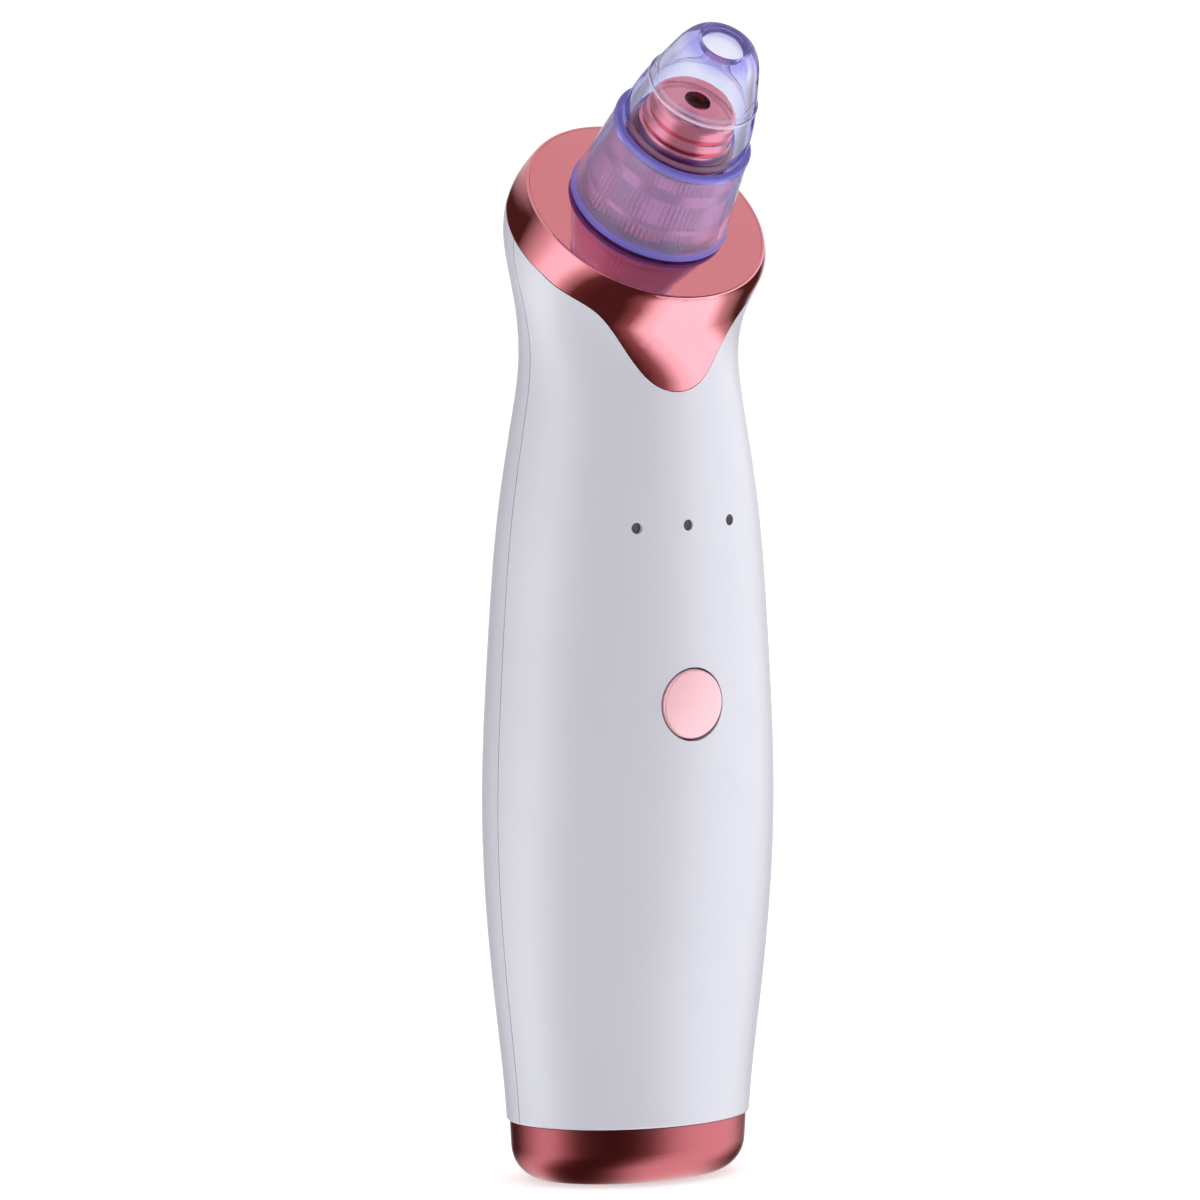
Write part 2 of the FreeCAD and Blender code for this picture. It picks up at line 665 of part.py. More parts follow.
def board_chips():
    """Controller, charger and motor driver."""
    front = BOARD_FRONT_Y
    sizes = [(-5.6, 80.5, 5.0, 4.4, 1.5), (5.4, 80.8, 3.0, 3.0, 1.1), (5.8, 90.0, 2.9, 2.8, 1.1)]
    made = []
    for x, z, width, height, thick in sizes:
        chip = box(-width / 2, width / 2, front - thick, front - 0.01, -height / 2, height / 2)
        chip.translate(Vector(x, 0, z))
        made.append(chip)
    return Part.makeCompound(made)


def chip_legs():
    """Gull-wing legs of the controller."""
    made = []
    for side in (-1, 1):
        for i in range(4):
            z = 80.5 + (i - 1.5) * 1.1
            x0, x1 = sorted((-5.6 + side * 2.51, -5.6 + side * 3.4))
            made.append(box(x0, x1, BOARD_FRONT_Y - 0.35, BOARD_FRONT_Y - 0.01, z - 0.2, z + 0.2))
    return Part.makeCompound(made)


def board_passives():
    """Rows of small resistors and capacitors."""
    made = []
    for i in range(4):
        x = 3.2 + 1.9 * i
        made.append(box(x - 0.4, x + 0.4, BOARD_FRONT_Y - 0.5, BOARD_FRONT_Y - 0.01, 75.2, 76.8))
        made.append(box(-x - 0.4, -x + 0.4, BOARD_FRONT_Y - 0.6, BOARD_FRONT_Y - 0.01, 99.2, 100.8))
    return Part.makeCompound(made)


def power_coil():
    core = box(-7.9, -3.9, BOARD_FRONT_Y - 2.4, BOARD_FRONT_Y - 0.01, 87.2, 91.2)
    return fillet_edges(core, 0.8, lambda e: abs(e.tangentAt(e.FirstParameter).y) > 0.99)


# ---------------------------------------------------------------- battery

def battery_cell():
    z0, z1 = CELL_Z
    can = cylinder(CELL_R, z0, z1, 0, CELL_Y)
    can = fillet_edges(can, 0.6, lambda e: e.BoundBox.ZLength < 0.01 and e.Length > 20)
    crimp = Part.makeTorus(CELL_R + 0.1, 0.35, Vector(0, CELL_Y, z1 - 2.6), Z_AXIS)
    return can.cut(crimp)


def battery_terminals():
    z0, z1 = CELL_Z
    button = cylinder(2.4, z1 + 0.01, z1 + 0.8, 0, CELL_Y)
    top_tab = box(-2.0, 2.0, CELL_Y - 2.2, CELL_Y + 2.2, z1 + 0.81, z1 + 1.0)
    low_tab = box(-2.0, 2.0, CELL_Y - 2.2, CELL_Y + 2.2, z0 - 0.2, z0 - 0.01)
    return Part.makeCompound([button.fuse(top_tab), low_tab])


def cell_pad():
    """Foam pad between the board and the cell."""
    return box(-4.5, 4.5, BOARD_FRONT_Y + BOARD_THICK + 0.02, CELL_Y - CELL_R - 0.02, 66.0, 84.0)


# ---------------------------------------------------------------- pump

def motor_can():
    z0, z1 = MOTOR_Z
    can = cylinder(MOTOR_R, z0, z1)
    can = fillet_edges(can, 1.0, lambda e: e.BoundBox.ZMin > z1 - 0.01)
    can = can.cut(cylinder(MOTOR_R - 0.8, z0 - 1, z1 - 0.9))
    nose = cylinder(3.0, z1 - 0.5, z1 + 1.2)
    return at_pump(fuse([can, nose]).cut(cylinder(2.0, z0, z1 + 3)))


def motor_end_cap():
    z0 = MOTOR_Z[0]
    disc = cylinder(MOTOR_R - 0.85, END_CAP_Z + 0.8, z0 + 1.6)
    rim = cylinder(MOTOR_R, END_CAP_Z + 0.8, z0 - 0.02)
    hub = cylinder(3.2, END_CAP_Z, z0 + 1.6)
    made = fuse([disc, rim, hub]).cut(cylinder(2.0, END_CAP_Z + 0.6, z0 + 4))
    for x in (-TERMINAL_X, TERMINAL_X):
        made = made.cut(box(x - 0.5, x + 0.5, -1.3, 1.3, END_CAP_Z - 1, z0 + 4))
    return at_pump(made)


def motor_terminals():
    made = [box(x - 0.25, x + 0.25, -1.1, 1.1, END_CAP_Z - 1.2, 18.6) for x in (-TERMINAL_X, TERMINAL_X)]
    return at_pump(Part.makeCompound(made))


def motor_brushes():
    """Spring arms that reach from the terminals to the commutator."""
    arm = box(2.62, TERMINAL_X - 0.27, -0.5, 0.5, 17.7, 18.5)
    return at_pump(Part.makeCompound([arm, mirrored_x(arm)]))


def motor_bushes():
    upper = tube(1.98, SHAFT_R + 0.04, MOTOR_Z[1] - 0.8, MOTOR_Z[1] + 1.2)
    lower = tube(1.98, SHAFT_R + 0.04, END_CAP_Z + 0.65, MOTOR_Z[0] + 1.6)
    return at_pump(Part.makeCompound([upper, lower]))


def motor_magnets():
    ring = tube(MOTOR_R - 0.85, 7.6, 19.2, 34.0)
    pair = ring.cut(box(-3.4, 3.4, -20, 20, 0, 60))
    return at_pump(pair)


def motor_shaft():
    return at_pump(cylinder(SHAFT_R, END_CAP_Z + 1.1, SHAFT_TOP))


def motor_armature():
    """Three-pole laminated core on the shaft."""
    core = cylinder(7.1, 21.0, 32.0)
    hub_gap = []
    for slot in around(box(-1.9, 1.9, 2.6, 6.1, 20, 33), 3):
        hub_gap.append(slot)
    for mouth in around(box(-0.7, 0.7, 5.5, 8.5, 20, 33), 3):
        hub_gap.append(mouth)
    return at_pump(core.cut(Part.makeCompound(hub_gap)).cut(cylinder(SHAFT_R + 0.01, 20, 33)))


def motor_windings():
    """Coil ends above and below the core, one bundle on each pole."""
    made = []
    for z0, z1 in ((19.6, 20.98), (32.02, 33.4)):
        bundle = box(-2.0, 2.0, -5.8, -2.2, z0, z1)
        bundle = fillet_edges(bundle, 0.6, lambda e: abs(e.tangentAt(e.FirstParameter).z) < 0.01)
        made += around(bundle, 3)
    return at_pump(Part.makeCompound(made))


def motor_commutator():
    drum = tube(2.55, SHAFT_R + 0.01, 16.9 + 0.8, 19.5)
    for slot in around(box(-0.15, 0.15, 1.7, 4, 17.0, 19.2), 3, start=60):
        drum = drum.cut(slot)
    return at_pump(drum)


def motor_sleeve():
    """Rubber sleeve that keeps the pump's shake out of the casing."""
    sleeve = tube(SLEEVE_R, MOTOR_R + 0.02, *SLEEVE_Z)
    for z in (19.4, 25.4, 32.0):
        sleeve = sleeve.cut(tube(14, SLEEVE_R - 0.5, z, z + 1.0))
    return at_pump(sleeve)


def pump_base():
    """Crank case: its floor is screwed to the motor, and the drive plate rocks inside it."""
    z0 = MOTOR_Z[1] + 0.02
    case = cylinder(HEAD_BLOCK_R, z0, PUMP_BASE_TOP)
    case = case.cut(cylinder(HEAD_BLOCK_R - 1.3, CHAMBER_FLOOR_Z, PUMP_BASE_TOP + 1))
    case = case.cut(cylinder(3.1, z0 - 1, CHAMBER_FLOOR_Z + 1))
    ears = [cylinder(1.5, z0, PUMP_BASE_TOP, x, y) for x, y in PUMP_SCREW_SPOTS]
    made = fuse([case] + ears)
    for x, y in PUMP_SCREW_SPOTS:
        made = made.cut(cylinder(0.7, z0 + 3, PUMP_BASE_TOP + 1, x, y))
    return at_pump(made)


def leaning(shape):
    """Places a shape drawn about Z, pivot at its origin, on the crank pin's line."""
    return moved(shape, Placement(Vector(0, 0, PIN_PIVOT_Z), Rotation(Y_AXIS, PIN_TILT)))


def crank_wheel():
    """Wheel pressed on the motor shaft. It carries the leaning pin."""
    wheel = cylinder(WHEEL_R, *WHEEL_Z)
    wheel = wheel.cut(cylinder(SHAFT_R + 0.01, WHEEL_Z[0] - 1, SHAFT_TOP + 0.02))
    return at_pump(wheel.cut(leaning(cylinder(PIN_R + 0.01, PIN_LOW - 0.02, 0))))


def crank_pin():
    """Steel pin whose line crosses the motor axis above the drive plate."""
    return at_pump(leaning(cylinder(PIN_R, PIN_LOW, PIN_HIGH)))


def drive_plate():
    """Three-armed plate that rocks without turning, as the leaning pin goes round."""
    hub = cylinder(1.9, PLATE_LOW - 0.5, PLATE_LOW + 1.6)
    arms = around(box(-1.1, 1.1, 0, CUP_CIRCLE_R, PLATE_LOW - 0.4, PLATE_LOW + 0.4), 3)
    pads = around(cylinder(1.4, PLATE_LOW - 0.4, PLATE_LOW + 0.4, 0, CUP_CIRCLE_R), 3)
    plate = fuse([hub] + arms + pads).cut(cylinder(PIN_R + 0.04, PLATE_LOW - 2, PIN_HIGH + 0.2))
    sockets = around(cylinder(0.66, -5, 0, 0, CUP_CIRCLE_R), 3)
    return at_pump(leaning(plate.cut(Part.makeCompound(sockets))))


def cup_stems():
    """Rubber plugs that hold the drive plate's arms to the pumping cups."""
    stem = cylinder(0.65, PLATE_LOW - 0.9, PLATE_LOW + 0.5)
    plug = fuse([stem, cylinder(0.95, PLATE_LOW - 1.1, PLATE_LOW - 0.42)])
    plug.translate(Vector(0, CUP_CIRCLE_R, 0))
    return at_pump(leaning(Part.makeCompound(around(plug, 3))))


def diaphragm():
    """Rubber sheet with three pumping cups."""
    sheet = cylinder(HEAD_BLOCK_R - 0.1, PUMP_BASE_TOP + 0.02, DIAPHRAGM_TOP - 0.02)
    for x, y in PUMP_SCREW_SPOTS:
        sheet = sheet.cut(cylinder(1.6, 40, 50, x, y))
    cups = around(cylinder(CUP_R, CUP_BOTTOM, DIAPHRAGM_TOP - 0.02, 0, CUP_CIRCLE_R), 3)
    hollows = around(cylinder(CUP_R - 0.6, CUP_BOTTOM + 0.5, 50, 0, CUP_CIRCLE_R), 3)
    return at_pump(fuse([sheet] + cups).cut(Part.makeCompound(hollows)))


def valve_plate():
    """Plate with an inlet hole and an outlet hole over each cup."""
    plate = cylinder(HEAD_BLOCK_R - 0.1, DIAPHRAGM_TOP, VALVE_TOP)
    plate = plate.cut(Part.makeCompound(around(cylinder(0.5, 40, 60, 0, 7.2), 3)))
    plate = plate.cut(Part.makeCompound(around(cylinder(0.5, 40, 60, 0, 4.4), 3)))
    for x, y in PUMP_SCREW_SPOTS:
        plate = plate.cut(cylinder(1.6, 40, 60, x, y))
    return at_pump(plate.cut(cylinder(0.7, 40, 60)))


def valve_flap():
    """Umbrella valve over the three outlet holes."""
    cap = turned([
        (0, VALVE_TOP + 0.02), (4.9, VALVE_TOP + 0.02), (4.9, VALVE_TOP + 0.3),
        (1.2, VALVE_TOP + 0.9), (0, VALVE_TOP + 0.9),
    ])
    return at_pump(cap.fuse(cylinder(0.65, DIAPHRAGM_TOP + 0.4, VALVE_TOP + 0.1)).removeSplitter())


def pump_cover():
    """Cover with an outer inlet ring, a middle outlet room, and a nipple for each."""
    cover = cylinder(HEAD_BLOCK_R, VALVE_TOP + 0.01, COVER_TOP)
    cover = cover.cut(cylinder(5.3, VALVE_TOP, COVER_TOP - 1.2))
    cover = cover.cut(tube(8.4, 6.3, VALVE_TOP, COVER_TOP - 1.2))
    ears = [cylinder(1.5, VALVE_TOP + 0.01, COVER_TOP, x, y) for x, y in PUMP_SCREW_SPOTS]
    inlet = cylinder(1.75, COVER_TOP - 0.5, NIPPLE_TOP, NIPPLE_X)
    outlet = cylinder(1.5, COVER_TOP - 0.5, COVER_TOP + 2.6)
    made = fuse([cover] + ears + [inlet, outlet])
    made = made.cut(cylinder(0.9, COVER_TOP - 2, NIPPLE_TOP + 1, NIPPLE_X))
    made = made.cut(cylinder(0.8, COVER_TOP - 2, COVER_TOP + 5))
    for x, y in PUMP_SCREW_SPOTS:
        made = made.cut(cylinder(0.95, 40, 60, x, y))
    return at_pump(made)


def pump_screws():
    """Four long screws that clamp cover, valve plate and diaphragm to the crank case."""
    made = []
    for x, y in PUMP_SCREW_SPOTS:
        shank = cylinder(0.68, 41.0, COVER_TOP + 0.1, x, y)
        screw = fuse([shank, cylinder(1.45, COVER_TOP + 0.01, COVER_TOP + 1.0, x, y)])
        made.append(screw.cut(box(x - 1.1, x + 1.1, y - 0.2, y + 0.2, COVER_TOP + 0.6, COVER_TOP + 2)))
    return at_pump(Part.makeCompound(made))


# ---------------------------------------------------------------- charging socket



def usb_socket():
    """Stamped steel shell of the charging socket, mouth down."""
    shell_out = box(-3.75, 3.75, -1.3, 1.3, USB_FOOT, USB_TOP)
    shell_out = fillet_edges(shell_out, 0.55, lambda e: abs(e.tangentAt(e.FirstParameter).z) > 0.99)
    return shell_out.cut(box(-3.45, 3.45, -1.0, 1.0, USB_FOOT - 1, USB_TOP - 0.4))


def usb_tongue():
    return box(-2.6, 2.6, 0.05, 0.75, USB_FOOT + 0.6, USB_TOP - 0.42)


def usb_board():
    board = box(-8.0, 8.0, -4.5, 4.5, USB_TOP + 0.02, USB_TOP + USB_BOARD_THICK)
    board = fillet_edges(board, 1.0, lambda e: abs(e.tangentAt(e.FirstParameter).z) > 0.99)
    for x in USB_SCREWS_X:
        board = board.cut(cylinder(0.8, 0, 20, x))
    return board


def usb_screws():
    """Two screws that hold the charging board to the base's posts."""
    made = []
    top = USB_TOP + USB_BOARD_THICK
    for x in USB_SCREWS_X:
        screw = fuse([cylinder(0.58, top - 4.0, top + 0.2, x), cylinder(1.3, top + 0.02, top + 0.8, x)])
        made.append(screw.cut(box(x - 1.0, x + 1.0, -0.2, 0.2, top + 0.5, top + 2)))
    return Part.makeCompound(made)


# ---------------------------------------------------------------- hose and leads

def smooth_path(points, share=0.45):
    """Straight runs joined by tangent arcs. Returns the wire, its length and the arc radii."""
    edges = []
    radii = []
    start = points[0]
    for before, corner, after in zip(points, points[1:], points[2:]):
        into = (corner - before).normalize()
        out = (after - corner).normalize()
        turn = into.getAngle(out)
        run = min((corner - before).Length, (after - corner).Length)
        setback = share * run
        radius = setback / math.tan(turn / 2)
        first = corner - into * setback
        last = corner + out * setback
        bisector = (out - into).normalize()
        middle = corner + bisector * (radius / math.cos(turn / 2) - radius)
        edges.append(Part.makeLine(start, first))
        edges.append(Part.Arc(first, middle, last).toShape())
        radii.append(radius)
        start = last
    edges.append(Part.makeLine(start, points[-1]))
    wire = Part.Wire(edges)
    return wire, wire.Length, radii


def swept(points, radius):
    wire, length, radii = smooth_path(points)
    direction = points[1] - points[0]
    ring = Part.Wire([Part.makeCircle(radius, points[0], direction)])
    solid = wire.makePipeShell([ring], True, True)
    print(f"  sweep r {radius}: length {length:.1f}, radii {[round(r, 1) for r in radii]}")
    return solid


HOSE_ROUTE = [
    Vector(NIPPLE_X, PUMP_Y, COVER_TOP + 0.3), Vector(NIPPLE_X, PUMP_Y, 59.0), Vector(12.6, 1.4, 70.0),
    Vector(12.9, 1.8, 90.0), Vector(11.4, 3.4, 106.0), Vector(4.2, 7.4, 117.0),
    head_point(0, 0, -17.5), head_point(0, 0, -6.1),
]


def suction_hose():
    """Silicone hose from the pump's inlet up to the nozzle."""
    return swept(HOSE_ROUTE, HOSE_R).cut(swept(HOSE_ROUTE, BARB_R + 0.02))


def motor_lead(side):
    x = side * TERMINAL_X
    return swept([
        Vector(x, PUMP_Y, END_CAP_Z - 1.3), Vector(x, PUMP_Y, END_CAP_Z - 3.0),
        Vector(side * 14.2, PUMP_Y, 12.6), Vector(side * 14.6, PUMP_Y, 34.0),
        Vector(side * 14.3, -2.4, 52.4), Vector(side * 6.6, -7.8, 56.3),
        Vector(side * 6.6, -7.8, BOARD_Z[0] - 0.02),
    ], LEAD_R)


def usb_lead(side):
    return swept([
        Vector(side * 5.0, 3.0, USB_TOP + USB_BOARD_THICK + 0.02), Vector(side * 5.0, 3.0, 9.8),
        Vector(side * 14.2, 2.8, 12.4), Vector(side * 14.8, 2.8, 34.0), Vector(side * 14.3, 2.4, 52.0),
        Vector(side * 13.0, -1.6, 62.0), Vector(side * 8.4, -2.9, 65.0),
        Vector(side * 8.4, BOARD_FRONT_Y + BOARD_THICK + 0.02, 65.0),
    ], LEAD_R)


def positive_cell_lead():
    top = CELL_Z[1] + 1.02
    return swept([
        Vector(0, CELL_Y - 0.6, top), Vector(0, CELL_Y - 0.6, top + 2.6), Vector(-3.0, -7.8, top + 1.2),
        Vector(-3.0, -7.8, BOARD_Z[1] + 0.02),
    ], LEAD_R)


def negative_cell_lead():
    low = CELL_Z[0] - 0.22
    return swept([
        Vector(0, CELL_Y - 0.6, low), Vector(0, CELL_Y - 0.6, low - 3.6), Vector(2.2, -4.4, low - 7.6),
        Vector(3.4, -7.8, low - 8.6), Vector(3.4, -7.8, BOARD_Z[0] - 0.02),
    ], LEAD_R)


# ---------------------------------------------------------------- all parts

def main():
    os.makedirs("parts", exist_ok=True)
    body = Body()
    nodes = {
        "front_shell": front_shell(body),
        "rear_shell": rear_shell(body),
        "head_collar": head_collar(body),
        "base_cap": base_cap(body),
        "head_deck": head_deck(),
        "nozzle_seat": nozzle_seat(),
        "seat_nut": seat_nut(),
        "spigot_ring": spigot_ring(),
        "filter_sponge": filter_sponge(),
        "hose_fitting": hose_fitting(),
        "probe_skirt": probe_skirt(),
        "probe_tip": probe_tip(),
        "power_button": power_button(body),
        "tact_switch": tact_switch(),
        "switch_cover": switch_cover(),
        "switch_plunger": switch_plunger(),
        "light_guide": light_guide(body),
        "lamp_chips": lamp_chips(),
        "circuit_board": circuit_board(),
        "board_screws": board_screws(),
        "board_chips": board_chips(),
        "chip_legs": chip_legs(),
        "board_passives": board_passives(),
        "power_coil": power_coil(),
        "battery_cell": battery_cell(),
        "battery_terminals": battery_terminals(),
        "cell_pad": cell_pad(),
        "motor_can": motor_can(),
        "motor_end_cap": motor_end_cap(),
        "motor_terminals": motor_terminals(),
        "motor_brushes": motor_brushes(),
        "motor_bushes": motor_bushes(),
        "motor_magnets": motor_magnets(),
        "motor_shaft": motor_shaft(),
        "motor_armature": motor_armature(),
        "motor_windings": motor_windings(),
        "motor_commutator": motor_commutator(),
        "motor_sleeve": motor_sleeve(),
        "pump_base": pump_base(),
        "crank_wheel": crank_wheel(),
        "crank_pin": crank_pin(),
        "drive_plate": drive_plate(),
        "cup_stems": cup_stems(),
        "diaphragm": diaphragm(),
        "valve_plate": valve_plate(),
        "valve_flap": valve_flap(),
        "pump_cover": pump_cover(),
        "pump_screws": pump_screws(),
        "usb_socket": usb_socket(),
        "usb_tongue": usb_tongue(),
        "usb_board": usb_board(),
        "usb_screws": usb_screws(),
        "suction_hose": suction_hose(),
        "motor_leads": Part.makeCompound([motor_lead(1), motor_lead(-1)]),
        "battery_leads": Part.makeCompound([positive_cell_lead(), negative_cell_lead()]),
        "charging_leads": Part.makeCompound([usb_lead(1), usb_lead(-1)]),
    }
    for name, shape in nodes.items():
        write(name, shape)


main()
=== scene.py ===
"""Looks for the blackhead vacuum extractor: materials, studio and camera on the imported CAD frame.

Units are metres. The front of the object, with its button, faces -Y.
"""

import json
import math

import bpy
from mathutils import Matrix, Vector

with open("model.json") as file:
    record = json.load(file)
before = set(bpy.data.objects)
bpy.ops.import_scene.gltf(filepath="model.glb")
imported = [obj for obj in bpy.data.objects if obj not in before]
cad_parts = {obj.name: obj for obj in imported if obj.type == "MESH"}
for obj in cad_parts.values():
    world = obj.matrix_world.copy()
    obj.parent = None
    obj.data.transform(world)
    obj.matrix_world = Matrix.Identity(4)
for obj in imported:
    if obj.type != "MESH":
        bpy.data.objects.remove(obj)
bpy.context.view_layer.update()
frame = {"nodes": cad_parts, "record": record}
nodes = frame["nodes"]

mouth = next(mount for mount in frame["record"]["mounts"] if mount["name"] == "suction_mouth")
HEAD_POINT = Vector(mouth["pos_m"])
HEAD_AXIS = Vector(mouth["axis"])

MICRON = 1e-6

# Distances below the middle of the mouth's bore, along the head axis
SKIRT_FOOT = 0.03085
SKIRT_TOP = 0.01625
BEAD = 0.00815
TIP_LIP = -0.00095

# Radii between which the nozzle's plating turns from the painted shade in its port to its bright tone
PORT_RADIUS = 0.0019
PORT_RIM_RADIUS = 0.002052

# Outside tones: each pair bounds the slight drift of one base colour
SHELL_TONES = (0.65, 0.68, 0.76), (0.67, 0.70, 0.78)
COLLAR_TONES = (0.89, 0.345, 0.40), (0.93, 0.365, 0.425)
DECK_TONES = (0.89, 0.305, 0.34), (0.93, 0.325, 0.365)
BASE_TONES = (0.45, 0.125, 0.145), (0.50, 0.14, 0.16)
BUTTON_TONES = (0.98, 0.61, 0.68), (1.0, 0.64, 0.71)
# The lens tones are painted shade: the lamp holes' shade put on the light guide.
LENS_SHADE_TONES = (0.035, 0.04, 0.055), (0.06, 0.065, 0.085)
# The port's dark tone is painted shade down in the suction port.
PORT_PAINTED_SHADE = (0.50, 0.17, 0.20)
NOZZLE_BRIGHT = (0.91, 0.32, 0.365)

# The probe's tones, and its shares of clear against cloudy plastic as grey levels
PLAIN = (1.0, 1.0, 1.0)
# The rim violet is painted light that the skirt's rims seem to catch.
PAINTED_RIM_LIGHT_VIOLET = (0.30, 0.29, 0.93)
PALE_VIOLET = (0.74, 0.69, 1.0)
TIP_CENTRE = (0.92, 0.94, 1.0)
TIP_EDGE = (0.46, 0.49, 0.97)
LIP_VIOLET = (0.48, 0.46, 0.98)
CLEAR = (1.0, 1.0, 1.0)
# The frosted share paints a highlight on the bead.
FROSTED_HIGHLIGHT = (0.55, 0.55, 0.55)
LIP_CLEAR = (0.72, 0.72, 0.72)
SKIRT_CLEAR = (0.84, 0.84, 0.84)
# The rims' smaller clear share is painted light as well, clouding them so that they look lit.
PAINTED_RIM_LIGHT_CLEAR = (0.45, 0.45, 0.45)
PROBE_IOR = 1.3

# Where the skirt's rims, which carry painted light, meet its wall, as shares of its height from the foot
FOOT_RIM_END = 0.055
WALL_START = 0.10
WALL_END = 0.93
TOP_RIM_START = 0.965

# Shares of the tip's height above the skirt: half the frosted ring, a painted highlight on the bead, and the fades of
# the lip
HIGHLIGHT_RING_HALF = 0.012
HIGHLIGHT_RING_HALF_FADED = 0.018
LIP_TINT_START = 0.86
LIP_TINT_END = 0.95
LIP_CLOUD_START = 0.9
LIP_CLOUD_END = 0.97
# How edge-on the tip's wall is seen where its violet starts and where it is full
EDGE_TINT_START = 0.4
EDGE_TINT_END = 0.88


# ---------------------------------------------------------------- shader helpers

class Shader:
    """A material with one Principled shader and short calls for the nodes that feed it."""

    def __init__(self, name):
        self.material = bpy.data.materials.new(name)
        self.material.use_nodes = True
        self.tree = self.material.node_tree
        self.principled = self.tree.nodes["Principled BSDF"]
        self.place = self.node("ShaderNodeTexCoord").outputs["Object"]

    def set(self, **values):
        """Sets the Principled shader's constant inputs."""
        for name, value in values.items():
            self.principled.inputs[name.replace("_", " ")].default_value = value

    def node(self, kind, sockets=None, **settings):
        """Adds a node. Each of the named sockets takes a value or a link."""
        made = self.tree.nodes.new(kind)
        for name, value in settings.items():
            setattr(made, name, value)
        for name, source in (sockets or {}).items():
            if isinstance(source, bpy.types.NodeSocket):
                self.link(source, made.inputs[name])
            else:
                made.inputs[name].default_value = source
        return made

    def link(self, source, target):
        self.tree.links.new(source, target)

    def vector(self, operation, *inputs, output="Vector"):
        return self.node("ShaderNodeVectorMath", dict(enumerate(inputs)), operation=operation).outputs[output]

    def stretched(self, scale):
        """Object coordinates scaled by a different amount along each axis."""
        return self.node("ShaderNodeMapping", {"Scale": scale, "Vector": self.place}).outputs["Vector"]

    def noise(self, scale, detail, roughness=0.55, vector=None):
        sockets = {"Scale": scale, "Detail": detail, "Roughness": roughness, "Vector": vector or self.place}
        return self.node("ShaderNodeTexNoise", sockets).outputs["Fac"]

    def cells(self, scale):
        return self.node("ShaderNodeTexVoronoi", {"Scale": scale, "Vector": self.place}).outputs["Distance"]

    def wave(self, scale, direction, distortion):
        sockets = {"Scale": scale, "Distortion": distortion, "Vector": self.place}
        return self.node("ShaderNodeTexWave", sockets, bands_direction=direction).outputs["Fac"]

    def from_mouth(self):
        return self.vector("SUBTRACT", self.place, HEAD_POINT)

    def along_head(self, far, near):
        """0 to 1 between two distances below the probe's mouth, measured along the tilted head axis."""
        height = self.vector("DOT_PRODUCT", self.from_mouth(), HEAD_AXIS, output="Value")
        return self.between(height, 0.0, 1.0, -far, -near)

    def outside_port_shade(self):
        """0 inside the suction port's radius, where shade is painted, and 1 outside it."""
        across = self.vector("CROSS_PRODUCT", self.from_mouth(), HEAD_AXIS)
        radius = self.vector("LENGTH", across, output="Value")
        return self.between(radius, 0.0, 1.0, PORT_RADIUS, PORT_RIM_RADIUS)

    def between(self, fac, low, high, start=0.0, end=1.0):
        """Maps a value that goes from start to end onto a range."""
        sockets = {"Value": fac, "From Min": start, "From Max": end, "To Min": low, "To Max": high}
        return self.node("ShaderNodeMapRange", sockets).outputs["Result"]

    def ramp(self, fac, stops):
        """A colour ramp from (position, colour) stops in rising order."""
        made = self.node("ShaderNodeValToRGB", {"Fac": fac})
        elements = made.color_ramp.elements
        for element, (position, colour) in zip(elements, (stops[0], stops[-1])):
            element.position = position
            element.color = (*colour, 1.0)
        for position, colour in stops[1:-1]:
            elements.new(position).color = (*colour, 1.0)
        return made.outputs["Color"]

    def stepped(self, name, fac, *stops):
        """Drives one input of the shader through a ramp."""
        self.link(self.ramp(fac, stops), self.principled.inputs[name])

    def multiply(self, first, second):
        sockets = {"Factor": 1.0, "A": first, "B": second}
        return self.node("ShaderNodeMix", sockets, data_type="RGBA", blend_type="MULTIPLY").outputs["Result"]

    def colour(self, fac, low, high, start=0.3, end=0.7):
        """Varies the base colour between two close tones."""
        self.stepped("Base Color", fac, (start, low), (end, high))

    def roughness(self, fac, low, high):
        self.link(self.between(fac, low, high), self.principled.inputs["Roughness"])

    def bump(self, fac, depth):
        """Raises the surface by up to depth metres where fac is 1."""
        made = self.node("ShaderNodeBump", {"Strength": 1.0, "Distance": depth, "Height": fac})
        self.link(made.outputs["Normal"], self.principled.inputs["Normal"])

    def absorb(self, colour, density):
        """Tints the light by the thickness that it passes through."""
        made = self.node("ShaderNodeVolumeAbsorption", {"Color": (*colour, 1.0), "Density": density})
        self.link(made.outputs["Volume"], self.tree.nodes["Material Output"].inputs["Volume"])


# ---------------------------------------------------------------- outside materials

def gloss_white():
    """Pearl-sprayed ABS: soft gloss, faint orange peel, very slight tone drift."""
    s = Shader("gloss_white")
    s.set(IOR=1.5, Metallic=0.15, Coat_Weight=0.3, Coat_Roughness=0.2)
    s.colour(s.noise(scale=35, detail=3), *SHELL_TONES)
    s.roughness(s.noise(scale=160, detail=4), low=0.34, high=0.42)
    s.bump(s.noise(scale=900, detail=2), depth=4 * MICRON)
    return s.material


def rose_plating(name, tones):
    """Vacuum-plated rose gold: near-mirror with faint haze and hairline polish marks."""
    s = Shader(name)
    s.set(Metallic=1.0)
    s.colour(s.noise(scale=60, detail=3), *tones)
    s.roughness(s.noise(scale=220, detail=5), low=0.04, high=0.09)
    s.bump(s.noise(scale=1400, detail=2), depth=0.8 * MICRON)
    return s.material


def rose_satin():
    """Satin plating of the base, brushed round it."""
    s = Shader("rose_satin")
    s.set(Metallic=1.0)
    hairlines = s.noise(scale=90, detail=5, roughness=0.7, vector=s.stretched((1.0, 1.0, 40.0)))
    s.colour(hairlines, *BASE_TONES)
    s.roughness(hairlines, low=0.24, high=0.34)
    s.bump(hairlines, depth=3 * MICRON)
    return s.material


